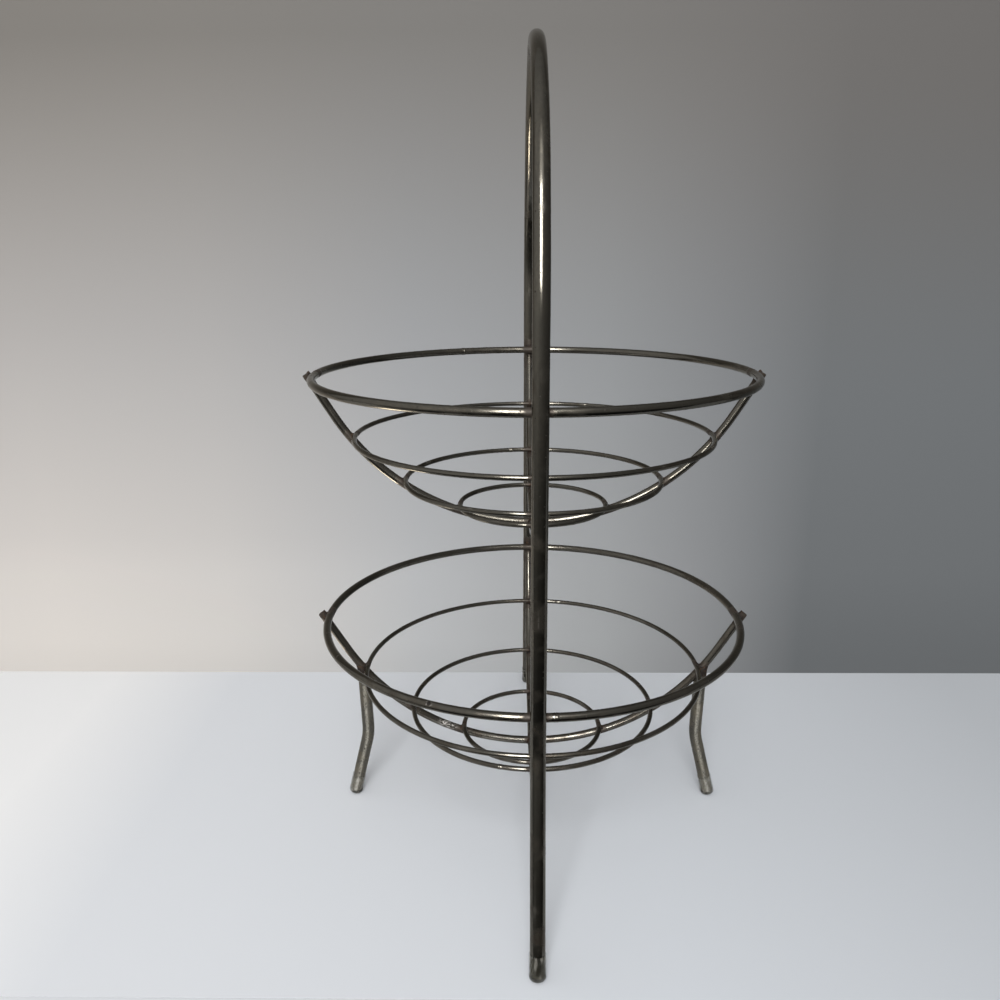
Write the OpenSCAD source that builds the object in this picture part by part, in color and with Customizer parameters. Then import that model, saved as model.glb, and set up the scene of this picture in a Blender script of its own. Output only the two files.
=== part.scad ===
// Two-tier basket stand of welded steel wire. Two round wire bowls hang between the
// legs of one tall hoop, whose top is the carrying handle. Two short legs under the
// lower bowl steady it, and each of the four feet wears a push-on clear cap.
// Z is up, the floor is z = 0, and the hoop lies in the Y-Z plane.

/* [Bowls] */
// Radius of each rim, to the middle of its wire
rim_r = 130; // [122:1:150]
// Depth of each bowl, from the middle of the rim down to the inside of the ribs
bowl_depth = 90; // [80:1:98]
// Radius of the large ring, below the rim
large_ring_r = 107.5; // [95:0.5:113]
// Radius of the middle ring
middle_ring_r = 78; // [62:0.5:88]
// Radius of the small ring, round the bottom of the bowl
small_ring_r = 45; // [30:0.5:55]
// Slope of the straight ends of the ribs, in degrees from level
rib_slope = 58.5; // [55:0.5:62]
// How far the side ribs run on past the rim
rib_past_rim = 3.5; // [2:0.5:8]

/* [Wires and rods] */
// Wire of the rims
rim_wire_d = 4.75; // [4:0.05:6]
// Wire of the three lower rings of a bowl
ring_wire_d = 3; // [2.5:0.1:4]
// Rod of the ribs
rib_d = 5; // [4:0.1:6]
// Rod of the hoop and of the short side legs
rod_d = 8; // [7:0.1:9]

/* [Frame] */
// Height of the lower rim above the floor
lower_rim_z = 133; // [125:1:150]
// Height of the upper rim above the lower one
tier_gap = 154.5; // [135:0.5:190]
// Straight part of the hoop above the upper rim, before it turns over as the handle
handle_rise = 41; // [20:1:120]
// How far below the lower rim the hoop's legs turn outward
hoop_knee_drop = 15; // [8:1:30]
// How far the hoop's feet spread, in degrees from upright
hoop_splay = 11; // [6:0.5:14]
// Height at which the side legs turn outward
side_knee_z = 46; // [38:1:55]
// How far the side legs lean in above that bend, in degrees from upright
side_lean = 1.5; // [0:0.5:3]
// How far the side feet spread, in degrees from upright
side_splay = 14; // [8:0.5:18]
// Radius of the bends above the feet
knee_bend_r = 42; // [25:1:60]

/* [Foot caps] */
// Length of a clear cap
cap_length = 14; // [10:0.5:20]
// Wall of a clear cap
cap_wall = 0.4; // [0.3:0.05:0.8]
// Thickness of the cap's closed end
cap_end = 1.8; // [1.4:0.1:2.5]
// Rounding of the cap's closed end
cap_round = 2.2; // [1:0.1:2.4]
// Play between a cap and the rod inside it
cap_play = 0.1; // [0.05:0.05:0.2]
// How much of a cap's lowest edge is worn flat where it stands
foot_flat = 0.2; // [0.1:0.05:0.4]

/* [Welds] */
// Gap between two pieces that are welded together, which the weld fills
weld_gap = 0.3; // [0.2:0.05:0.4]
// Radius of the weld where a ring crosses a rib
ring_weld_r = 2.6; // [2:0.1:3]
// Radius of the weld where a rim crosses a rib or a leg
rim_weld_r = 3.2; // [2.8:0.1:4]
// Radius of the weld where a side leg meets its rib
leg_weld_r = 4.2; // [3.6:0.1:5]

/* [Hidden] */
$fn = 96;
turn_fn = 360;

METAL = [0.40, 0.39, 0.35];
WELD = [0.33, 0.27, 0.21];
CLEAR = [0.82, 0.84, 0.80, 0.5];

// Radii of the wires and rods
rim_wire_r = rim_wire_d / 2;
ring_wire_r = ring_wire_d / 2;
rib_r = rib_d / 2;
rod_r = rod_d / 2;

// The inside of the ribs is a ball of this radius, and straight above the slope angle.
// The rim lies inside the straight ends, which fixes the ball for a given depth.
bowl_r = (rim_r * sin(rib_slope) - bowl_depth * cos(rib_slope) + rim_wire_r + weld_gap)
    / (1 - cos(rib_slope));
bowl_centre_z = bowl_r - bowl_depth;
rib_bend_r = bowl_r + rib_r;
ring_centre_r = bowl_r - weld_gap - ring_wire_r;

// Directions across and along the straight end of a rib, as [out, up]
rib_out = [sin(rib_slope), -cos(rib_slope)];
rib_along = [cos(rib_slope), sin(rib_slope)];
rim_to_rib = rim_wire_r + weld_gap + rib_r;
rib_straight_from = [0, bowl_centre_z] + rib_bend_r * rib_out;

// The hoop stands outside the rims
hoop_r = rim_r + rim_wire_r + weld_gap + rod_r;
upper_rim_z = lower_rim_z + tier_gap;
handle_z = upper_rim_z + handle_rise;
hoop_knee_z = lower_rim_z - hoop_knee_drop;

// The side legs stand under the ribs where the large ring crosses them
leg_angle = asin(large_ring_r / ring_centre_r);
leg_out = [sin(leg_angle), -cos(leg_angle)];
leg_top = [0, lower_rim_z + bowl_centre_z] + rib_bend_r * leg_out;
side_knee_x = leg_top[0] - (leg_top[1] - side_knee_z) * tan(side_lean);

// Each foot is where the middle of its cap's closed end lies, as [out, up]
cap_r = rod_r + cap_play + cap_wall;
hoop_foot = foot_at([hoop_r, hoop_knee_z], hoop_splay);
side_foot = foot_at([side_knee_x, side_knee_z], side_splay);

// Air between a rod's end and the closed end of its cap
rod_end_gap = 0.3;
// How much thicker a bend is than its rod, as a factor, and how far a run laps into it
bend_swell = 1.015;
run_lap = 0.4;
// Spare length on what is then cut to fit, and the size of the blocks that cut it
beyond = 12;
big = 600;

function heading(v) = atan2(v[1], v[0]);
function bend_length(r, angle) = r * tan(angle / 2);
function rib_end(past) = [rim_r, 0] + rim_to_rib * rib_out + past * rib_along;
function ring_depth(r) = sqrt(ring_centre_r * ring_centre_r - r * r) - bowl_centre_z;

// Height of the middle of a tilted cap's end, when its lowest edge is worn by foot_flat
function foot_height(splay) =
    (cap_r - cap_round) * sin(splay) + cap_round * (1 - cos(splay)) - foot_flat;
function foot_at(knee, splay) =
    let (up = foot_height(splay)) [knee[0] + (knee[1] - up) * tan(splay), up];
function rod_end(foot, splay) = foot + (cap_end + rod_end_gap) * [-sin(splay), cos(splay)];

// A rod bent as on a bench, in the X-Y plane: it starts at the origin along +X. A step that
// is a number is a straight run, and a step [radius, angle] is a bend, to the left if the
// angle is positive. Bends come out a hair thicker, and each run laps into them.
module bent_rod(steps, d, i = 0) {
    if (i < len(steps)) {
        step = steps[i];
        if (is_num(step)) {
            back = i > 0 ? run_lap : 0;
            front = i < len(steps) - 1 ? run_lap : 0;
            translate([-back, 0, 0])
                rotate([0, 90, 0])
                    cylinder(h = back + step + front, d = d);
            translate([step, 0, 0])
                bent_rod(steps, d, i + 1);
        } else {
            r = step[0];
            angle = abs(step[1]);
            side = sign(step[1]);
            translate([0, side * r, 0]) {
                rotate_extrude(start = side > 0 ? -90 : 90 - angle, angle = angle, $fn = turn_fn)
                    translate([r, 0])
                        circle(d = d * bend_swell);
                rotate([0, 0, side * angle])
                    translate([0, -side * r, 0])
                        bent_rod(steps, d, i + 1);
            }
        }
    }
}

// Stands a shape drawn in the X-Y plane upright, in the X-Z or the Y-Z plane
module in_xz() {
    rotate([90, 0, 0]) children();
}

module in_yz() {
    rotate([0, 0, 90]) rotate([90, 0, 0]) children();
}

// A closed ring of wire, lying level
module wire_ring(r, d) {
    rotate_extrude($fn = turn_fn)
        translate([r, 0])
            circle(d = d);
}

// A rib's whole curve in the X-Y plane, measured from the middle of the rim
module rib_curve(past) {
    tip = rib_end(past);
    straight = norm(tip - rib_straight_from);
    translate([-tip[0], tip[1], 0])
        rotate([0, 0, -rib_slope])
            bent_rod([straight, [rib_bend_r, 2 * rib_slope], straight], rib_d);
}

module bowl_ring(rim_z, r) {
    translate([0, 0, rim_z - ring_depth(r)]) wire_ring(r, ring_wire_d);
}

module bowl_rim(rim_z) {
    translate([0, 0, rim_z]) wire_ring(rim_r, rim_wire_d);
}

module side_rib(rim_z) {
    translate([0, 0, rim_z]) in_xz() rib_curve(rib_past_rim);
}

// Half a rib, from the side rib's flank to the inner face of the hoop's leg.
// way is -1 for the front half and 1 for the rear half.
module half_rib(rim_z, way) {
    inner = rib_r + weld_gap;
    outer = hoop_r - rod_r - weld_gap;
    intersection() {
        translate([0, 0, rim_z]) in_yz() rib_curve(beyond);
        translate([-rod_d, way > 0 ? inner : -outer, 0]) cube([2 * rod_d, outer - inner, big]);
    }
}

// The hoop: both long legs and the handle, bent from one rod
module arch_frame() {
    end = rod_end(hoop_foot, hoop_splay);
    knee = [hoop_r, hoop_knee_z];
    knee_cut = bend_length(knee_bend_r, hoop_splay);
    knee_bend = [knee_bend_r, hoop_splay];
    shin = norm(end - knee) - knee_cut;
    leg = handle_z - hoop_knee_z - knee_cut;
    color(METAL)
        in_yz()
            translate([-end[0], end[1], 0])
                rotate([0, 0, 90 - hoop_splay])
                    bent_rod([shin, knee_bend, leg, [hoop_r, -180], leg, knee_bend, shin], rod_d);
}

// A short side leg on the +X side, its top bevelled to lie along the rib
module side_leg() {
    end = rod_end(side_foot, side_splay);
    knee = [side_knee_x, side_knee_z];
    top = knee + (leg_top[1] + beyond - side_knee_z) * [tan(side_lean), 1];
    knee_turn = side_lean + side_splay;
    knee_cut = bend_length(knee_bend_r, knee_turn);
    bevel = leg_top + (rib_r + weld_gap) * leg_out;
    in_xz()
        intersection() {
            translate([top[0], top[1], 0])
                rotate([0, 0, -90 - side_lean])
                    bent_rod(
                        [
                            norm(top - knee) - knee_cut,
                            [knee_bend_r, knee_turn],
                            norm(end - knee) - knee_cut
                        ],
                        rod_d
                    );
            translate([bevel[0], bevel[1], 0])
                rotate([0, 0, heading(leg_out)])
                    translate([0, -big / 2, -rod_d])
                        cube([big, big, 2 * rod_d]);
        }
}

module right_leg() {
    color(METAL) side_leg();
}

module left_leg() {
    color(METAL) mirror([1, 0, 0]) side_leg();
}

// A clear cap, with its axis up and its closed end at z = 0
module cap_shell() {
    difference() {
        rotate_extrude()
            intersection() {
                square([cap_r, cap_length]);
                union() {
                    translate([0, cap_round]) square([cap_r, cap_length]);
                    square([cap_r - cap_round, cap_length]);
                    translate([cap_r - cap_round, cap_round]) circle(r = cap_round);
                }
            }
        translate([0, 0, cap_end]) cylinder(r = rod_r + cap_play, h = cap_length);
    }
}

// A cap on a foot towards +X, standing on its worn flat
module cap_on_foot(foot, splay) {
    color(CLEAR)
        intersection() {
            translate([foot[0], 0, foot[1]]) rotate([0, -splay, 0]) cap_shell();
            translate([foot[0] - big / 2, -big / 2, 0]) cube([big, big, big]);
        }
}

module front_foot_cap() {
    rotate([0, 0, -90]) cap_on_foot(hoop_foot, hoop_splay);
}

module rear_foot_cap() {
    rotate([0, 0, 90]) cap_on_foot(hoop_foot, hoop_splay);
}

module right_foot_cap() {
    cap_on_foot(side_foot, side_splay);
}

module left_foot_cap() {
    mirror([1, 0, 0]) cap_on_foot(side_foot, side_splay);
}

module upper_rim() {
    color(METAL) bowl_rim(upper_rim_z);
}

module upper_large_ring() {
    color(METAL) bowl_ring(upper_rim_z, large_ring_r);
}

module upper_middle_ring() {
    color(METAL) bowl_ring(upper_rim_z, middle_ring_r);
}

module upper_small_ring() {
    color(METAL) bowl_ring(upper_rim_z, small_ring_r);
}

module upper_side_rib() {
    color(METAL) side_rib(upper_rim_z);
}

module upper_front_rib() {
    color(METAL) half_rib(upper_rim_z, -1);
}

module upper_rear_rib() {
    color(METAL) half_rib(upper_rim_z, 1);
}

module lower_rim() {
    color(METAL) bowl_rim(lower_rim_z);
}

module lower_large_ring() {
    color(METAL) bowl_ring(lower_rim_z, large_ring_r);
}

module lower_middle_ring() {
    color(METAL) bowl_ring(lower_rim_z, middle_ring_r);
}

module lower_small_ring() {
    color(METAL) bowl_ring(lower_rim_z, small_ring_r);
}

module lower_side_rib() {
    color(METAL) side_rib(lower_rim_z);
}

module lower_front_rib() {
    color(METAL) half_rib(lower_rim_z, -1);
}

module lower_rear_rib() {
    color(METAL) half_rib(lower_rim_z, 1);
}

// A weld: a small ball at the joint, less the pieces that it joins. Its pole points along
// out, from one piece to the other.
module weld(at, out, r) {
    difference() {
        translate(at)
            rotate([0, acos(out[2]), atan2(out[1], out[0])])
                sphere(r = r);
        children();
    }
}

// The welds of one bowl: each ring to each rib, the rim to the side rib, and the two
// half ribs to the side rib at the bottom
module bowl_welds(rim_z) {
    centre_z = rim_z + bowl_centre_z;
    for (r = [large_ring_r, middle_ring_r, small_ring_r]) {
        out = [r, -(bowl_centre_z + ring_depth(r))] / ring_centre_r;
        at = [0, centre_z] + (bowl_r - weld_gap / 2) * out;
        for (x = [-1, 1])
            weld([x * at[0], 0, at[1]], [x * out[0], 0, out[1]], ring_weld_r) {
                bowl_ring(rim_z, r);
                side_rib(rim_z);
            }
        for (y = [-1, 1])
            weld([0, y * at[0], at[1]], [0, y * out[0], out[1]], ring_weld_r) {
                bowl_ring(rim_z, r);
                half_rib(rim_z, y);
            }
    }
    rim_at = [rim_r, rim_z] + (rim_wire_r + weld_gap / 2) * rib_out;
    for (x = [-1, 1])
        weld([x * rim_at[0], 0, rim_at[1]], [x * rib_out[0], 0, rib_out[1]], rim_weld_r) {
            bowl_rim(rim_z);
            side_rib(rim_z);
        }
    for (y = [-1, 1])
        weld([0, y * (rib_r + weld_gap / 2), centre_z - rib_bend_r], [0, y, 0], ring_weld_r) {
            side_rib(rim_z);
            half_rib(rim_z, y);
        }
}

module upper_bowl_welds() {
    color(WELD) bowl_welds(upper_rim_z);
}

module lower_bowl_welds() {
    color(WELD) bowl_welds(lower_rim_z);
}

// The welds of the hoop: each rim to the leg beside it, and each half rib to the leg,
// under the bevelled end of the rib
module arch_welds() {
    rim_joint = rim_r + rim_wire_r + weld_gap / 2;
    rib_joint = hoop_r - rod_r - weld_gap / 2;
    rib_end_middle = rib_end(0)[1] + (rib_joint - rib_end(0)[0]) * tan(rib_slope);
    rib_underside = rib_end_middle - rib_r / cos(rib_slope);
    color(WELD)
        for (z = [lower_rim_z, upper_rim_z], y = [-1, 1]) {
            weld([0, y * rim_joint, z + rim_wire_r / 2], [0, y, 0], rim_weld_r) {
                bowl_rim(z);
                arch_frame();
            }
            weld([0, y * rib_joint, z + rib_underside], [0, y, 0], ring_weld_r) {
                arch_frame();
                half_rib(z, y);
            }
        }
}

// The welds of the side legs, under the ribs of the lower bowl
module leg_welds() {
    at = leg_top + (rib_r + weld_gap / 2) * leg_out;
    color(WELD)
        for (x = [-1, 1])
            weld([x * at[0], 0, at[1]], [x * leg_out[0], 0, leg_out[1]], leg_weld_r) {
                side_rib(lower_rim_z);
                mirror([x < 0 ? 1 : 0, 0, 0]) side_leg();
            }
}

arch_frame();
left_leg();
right_leg();
upper_rim();
upper_large_ring();
upper_middle_ring();
upper_small_ring();
upper_side_rib();
upper_front_rib();
upper_rear_rib();
lower_rim();
lower_large_ring();
lower_middle_ring();
lower_small_ring();
lower_side_rib();
lower_front_rib();
lower_rear_rib();
front_foot_cap();
rear_foot_cap();
left_foot_cap();
right_foot_cap();
upper_bowl_welds();
lower_bowl_welds();
arch_welds();
leg_welds();
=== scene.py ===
from math import atan2, cos, pi, radians, sin, sqrt, tan

import bmesh
import bpy
import numpy
from mathutils import Matrix, Vector, noise


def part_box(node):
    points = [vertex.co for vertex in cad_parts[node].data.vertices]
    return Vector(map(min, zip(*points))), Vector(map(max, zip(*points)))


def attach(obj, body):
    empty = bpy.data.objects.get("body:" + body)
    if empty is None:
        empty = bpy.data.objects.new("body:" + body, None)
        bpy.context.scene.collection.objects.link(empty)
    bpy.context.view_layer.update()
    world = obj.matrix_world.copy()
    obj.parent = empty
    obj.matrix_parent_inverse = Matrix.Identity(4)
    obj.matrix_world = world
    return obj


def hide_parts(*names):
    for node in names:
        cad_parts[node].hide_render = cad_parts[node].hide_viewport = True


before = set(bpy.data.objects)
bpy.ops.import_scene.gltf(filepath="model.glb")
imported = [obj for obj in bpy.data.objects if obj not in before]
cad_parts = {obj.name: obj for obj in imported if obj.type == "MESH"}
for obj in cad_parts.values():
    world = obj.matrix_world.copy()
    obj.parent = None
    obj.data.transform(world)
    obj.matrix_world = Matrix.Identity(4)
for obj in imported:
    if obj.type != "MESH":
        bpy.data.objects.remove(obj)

bpy.context.view_layer.update()


# The camera stands in front of the stand, a little left of the hoop's plane, so that the
# rear leg shows as a sliver beside the front leg. It looks down into both bowls.
camera_place = Vector((-0.0125, -0.5148, 0.3574))
camera_turn = radians(-0.87)
camera_down = radians(16.07)
camera_roll = radians(-0.3)
camera_focal_px = 861.7
picture_px = 1000.0


def new_object(name, data):
    """An object for a camera, curve, mesh or lamp, linked to the scene."""
    added = bpy.data.objects.new(name, data)
    bpy.context.scene.collection.objects.link(added)
    return added


camera_data = bpy.data.cameras.new("camera")
camera_data.sensor_width = 36.0
camera_data.lens = camera_data.sensor_width * camera_focal_px / picture_px
camera = new_object("camera", camera_data)
ahead = Vector((sin(camera_turn), cos(camera_turn), 0.0))
look = cos(camera_down) * ahead - sin(camera_down) * Vector((0.0, 0.0, 1.0))
right = Vector((cos(camera_turn), -sin(camera_turn), 0.0))
up = right.cross(look)
right_rolled = cos(camera_roll) * right + sin(camera_roll) * up
up_rolled = cos(camera_roll) * up - sin(camera_roll) * right
turned = Matrix((right_rolled, up_rolled, -look)).transposed()
camera.matrix_world = Matrix.Translation(camera_place) @ turned.to_4x4()
bpy.context.scene.camera = camera


# The hoop is one 8 mm steel rod, plated in dark pewter and bent cold on a bench: two legs,
# a slight outward knee in each under the lower bowl, and the half circle of the handle.
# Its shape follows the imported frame, and every other wire is made by the same tools.
ROD_RADIUS = 0.004
WELD_GAP = 0.0003
BEND_SWELL = 1.015
HOOP_SPLAY = radians(11.0)
HOOP_KNEE_Z = 0.118
KNEE_BEND_RADIUS = 0.042
CAP_END = 0.0018
ROD_END_AIR = 0.0003
STEP_ALONG = 0.002
SHEARED_EDGE = 0.0004
SHEARED_NARROWER = 0.14
NO_EDGE = 1e-6
WAVER = 0.00022
WAVERS_PER_METRE = 14.0
DENT_DEPTH = 0.00005
DENT_ACROSS = 0.011
BEAD_TOP = 0.0002
BEAD_REACH = 0.0016


class Value:
    """A socket of a node tree that can be used in sums with numbers and other sockets."""

    def __init__(self, tree, socket):
        self.tree = tree
        self.socket = socket

    def math(self, operation, first, second=0.0):
        node = self.tree.nodes.new("ShaderNodeMath")
        node.operation = operation
        plug(self.tree, node.inputs[0], first)
        plug(self.tree, node.inputs[1], second)
        return Value(self.tree, node.outputs[0])

    def __add__(self, other):
        return self.math("ADD", self, other)

    def __sub__(self, other):
        return self.math("SUBTRACT", self, other)

    def __rsub__(self, other):
        return self.math("SUBTRACT", other, self)

    def __mul__(self, other):
        return self.math("MULTIPLY", self, other)

    def __truediv__(self, other):
        return self.math("DIVIDE", self, other)

    def __pow__(self, other):
        return self.math("POWER", self, other)

    __radd__ = __add__
    __rmul__ = __mul__

    def least(self, other):
        return self.math("MINIMUM", self, other)

    def most(self, other):
        return self.math("MAXIMUM", self, other)


def plug(tree, socket, value):
    """Links a Value to a socket, or sets the socket to a plain number, colour, name or object."""
    if isinstance(value, Value):
        tree.links.new(value.socket, socket)
    elif socket.type == "RGBA":
        socket.default_value = (*value, 1.0)
    else:
        socket.default_value = value


class Tree:
    """Builds a node tree: one method makes any node, with its settings first."""

    def __init__(self, tree):
        self.tree = tree

    def node(self, kind, settings=None, sockets=None, out=0):
        node = self.tree.nodes.new(kind)
        for name, value in (settings or {}).items():
            if name == "stops":
                ramp = node.color_ramp
                while len(ramp.elements) < len(value):
                    ramp.elements.new(1.0)
                for element, (place, colour) in zip(ramp.elements, value):
                    element.position = place
                    element.color = (*colour, 1.0)
            elif name == "captures":
                for capture_name, capture_type in value:
                    node.capture_items.new(capture_type, capture_name)
            else:
                setattr(node, name, value)
        for name, value in (sockets or {}).items():
            plug(self.tree, node.inputs[name], value)
        if isinstance(out, tuple):
            return tuple(Value(self.tree, node.outputs[name]) for name in out)
        return Value(self.tree, node.outputs[out])

    def end(self, kind, name, value):
        """Makes the output node and leads the result to it."""
        plug(self.tree, self.tree.nodes.new(kind).inputs[name], value)

    def split(self, vector):
        return self.node("ShaderNodeSeparateXYZ", sockets={0: vector}, out=(0, 1, 2))

    def join(self, x, y, z):
        return self.node("ShaderNodeCombineXYZ", sockets={0: x, 1: y, 2: z})

    def noise(self, place, size, detail=2.0, roughness=0.5):
        """Noise from 0 to 1, with lumps about size across."""
        return self.node(
            "ShaderNodeTexNoise",
            sockets={"Vector": place, "Scale": 1.0 / size, "Detail": detail, "Roughness": roughness},
        )

    def fade(self, value, start, end):
        """Goes smoothly from 0 where value is start to 1 where it is end."""
        return self.node(
            "ShaderNodeMapRange",
            {"interpolation_type": "SMOOTHSTEP"},
            {"Value": value, "From Min": start, "From Max": end},
        )

    def blend(self, amount, first, second):
        """One colour where amount is 0 and another where it is 1."""
        return self.node(
            "ShaderNodeMix",
            {"data_type": "RGBA"},
            {"Factor": amount, 6: first, 7: second},
            out=2,
        )

    def ramp(self, value, start, end, stops):
        """Goes through the colours of the stops as value goes from start to end."""
        share = (value - start) / (end - start)
        return self.node("ShaderNodeValToRGB", {"stops": stops}, {"Fac": share}, out="Color")


def bench_path(start, heading, steps):
    """Points along a rod bent in one plane, 2 mm apart. A step that is a number is a straight
    run, and a step (radius, angle) is a bend, to the left if the angle is positive."""
    place = Vector(start)
    points = [place.copy()]
    for step in steps:
        if isinstance(step, tuple):
            bend, angle = step
            count = max(2, round(bend * abs(angle) / STEP_ALONG))
            side = 1.0 if angle > 0 else -1.0
            middle = place + side * bend * Vector((-sin(heading), cos(heading)))
            for i in range(1, count + 1):
                turn = heading + angle * i / count
                points.append(middle - side * bend * Vector((-sin(turn), cos(turn))))
            place = points[-1].copy()
            heading += angle
        else:
            count = max(2, round(step / STEP_ALONG))
            along = Vector((cos(heading), sin(heading)))
            for i in range(1, count + 1):
                points.append(place + along * step * i / count)
            place = points[-1].copy()
    return points


def in_yz(points):
    return [Vector((0.0, p[0], p[1])) for p in points]


def drawn_wire_tree():
    """Geometry nodes that draw a path out into a wire: sheared ends, a faint unevenness of
    the bending, shallow dents and, on a closed ring, the bead of the butt weld. Each point
    keeps its place on the straight wire before bending, in the attribute unbent."""
    group = bpy.data.node_groups.new("drawn wire", "GeometryNodeTree")
    for name, way, kind in (
        ("Path", "INPUT", "Geometry"),
        ("Radius", "INPUT", "Float"),
        ("Sides", "INPUT", "Int"),
        ("Sheared Edge", "INPUT", "Float"),
        ("Waver", "INPUT", "Float"),
        ("Dents", "INPUT", "Float"),
        ("Butt Bead", "INPUT", "Float"),
        ("Seed", "INPUT", "Float"),
        ("Finish", "INPUT", "Material"),
        ("Wire", "OUTPUT", "Geometry"),
    ):
        group.interface.new_socket(name, in_out=way, socket_type="NodeSocket" + kind)
    made = Tree(group)
    given = made.node("NodeGroupInput", out=tuple(range(9)))
    path, radius, sides, sheared, waver, dents, bead, seed, finish = given

    place = made.node("GeometryNodeInputPosition")
    shift = made.join(seed, seed, seed)
    wander = made.node(
        "ShaderNodeTexNoise",
        sockets={
            "Vector": made.node("ShaderNodeVectorMath", {"operation": "ADD"}, {0: place, 1: shift}),
            "Scale": WAVERS_PER_METRE,
            "Detail": 1.0,
        },
        out="Color",
    )
    centred = made.node("ShaderNodeVectorMath", {"operation": "SUBTRACT"}, {0: wander, 1: (0.5, 0.5, 0.5)})
    push = made.node("ShaderNodeVectorMath", {"operation": "SCALE"}, {0: centred, "Scale": waver})
    uneven = made.node("GeometryNodeSetPosition", sockets={"Geometry": path, "Offset": push})

    along = made.node("GeometryNodeSplineParameter", out="Length")
    whole = made.node("GeometryNodeSplineLength", out="Length")
    rail, rail_along, rail_left = made.node(
        "GeometryNodeCaptureAttribute",
        {"captures": [("along", "FLOAT"), ("left", "FLOAT")]},
        {"Geometry": uneven, 1: along, 2: whole - along},
        out=(0, 1, 2),
    )
    circle = made.node("GeometryNodeCurvePrimitiveCircle", sockets={"Resolution": sides, "Radius": radius})
    profile, around = made.node(
        "GeometryNodeCaptureAttribute",
        {"captures": [("around", "VECTOR")]},
        {"Geometry": circle, 1: place},
        out=(0, 1),
    )
    near_end = along.least(whole - along)
    edge = made.fade(near_end, 0.0, sheared)
    narrowed = (1.0 - SHEARED_NARROWER) + SHEARED_NARROWER * edge
    tube = made.node(
        "GeometryNodeCurveToMesh",
        sockets={"Curve": rail, "Profile Curve": profile, "Scale": narrowed, "Fill Caps": True},
    )

    across_x, across_y, _ = made.split(around)
    unbent = made.join(across_x, across_y, rail_along + seed)
    marked = made.node(
        "GeometryNodeStoreNamedAttribute",
        {"data_type": "FLOAT_VECTOR", "domain": "POINT"},
        {"Geometry": tube, "Name": "unbent", "Value": unbent},
    )
    lumps = made.noise(unbent, DENT_ACROSS, detail=1.0) - 0.5
    from_seam = rail_along.least(rail_left)
    on_bead = 1.0 - made.fade(from_seam, BEAD_TOP, BEAD_REACH)
    swelling = bead * on_bead * (0.5 + made.noise(unbent, BEAD_REACH))
    normal = made.node("GeometryNodeInputNormal")
    raised = made.node(
        "ShaderNodeVectorMath",
        {"operation": "SCALE"},
        {0: normal, "Scale": dents * lumps + swelling},
    )
    dented = made.node("GeometryNodeSetPosition", sockets={"Geometry": marked, "Offset": raised})
    smooth = made.node("GeometryNodeSetShadeSmooth", sockets={"Geometry": dented})
    whole_wire = made.node("GeometryNodeRealizeInstances", sockets={"Geometry": smooth})
    finished = made.node("GeometryNodeSetMaterial", sockets={"Geometry": whole_wire, "Material": finish})
    made.end("NodeGroupOutput", "Wire", finished)
    return group


def plain_mesh(name, source, tree, inputs):
    """Runs a geometry tree on an object and keeps the result as a plain mesh piece."""
    modifier = source.modifiers.new("made", "NODES")
    modifier.node_group = tree
    for item in tree.interface.items_tree:
        if item.item_type == "SOCKET" and item.in_out == "INPUT" and item.name in inputs:
            modifier[item.identifier] = inputs[item.name]
    depsgraph = bpy.context.evaluated_depsgraph_get()
    mesh = bpy.data.meshes.new_from_object(source.evaluated_get(depsgraph))
    mesh.name = name
    source.modifiers.remove(modifier)
    bpy.data.objects.remove(source)
    return new_object(name, mesh)


def path_object(points, closed):
    curve = bpy.data.curves.new("path", "CURVE")
    curve.dimensions = "3D"
    spline = curve.splines.new("POLY")
    spline.points.add(len(points) - 1)
    for point, place in zip(spline.points, points):
        point.co = (*place, 1.0)
    spline.use_cyclic_u = closed
    return new_object("path", curve)


def with_sheared_ends(points):
    """Adds points close to both ends, so that the edge of each cut can be round."""
    def near(end, following):
        way = (following - end).normalized()
        return [end + way * SHEARED_EDGE * share for share in (0.2, 0.45, 0.75, 1.0)]

    first = near(points[0], points[1])
    last = near(points[-1], points[-2])
    return [points[0], *first, *points[1:-1], *reversed(last), points[-1]]


def bare_material(name):
    """A new material without nodes, and the tree to build them in."""
    material = bpy.data.materials.new(name)
    material.use_nodes = True
    material.node_tree.nodes.clear()
    return material, Tree(material.node_tree)


# The lower bowl has been knocked twice: a pale scuff on its side rib, and a nick in its rim.
SCUFF_PLACE = (-0.0555, -0.0020, 0.0552)
SCUFF_REACH = 0.0085
NICK_PLACE = (-0.0556, -0.1190, 0.1348)
NICK_REACH = 0.0016
PITS_PER_METRE = 420.0
DIE_LINE_DEPTH = 0.000016


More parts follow.
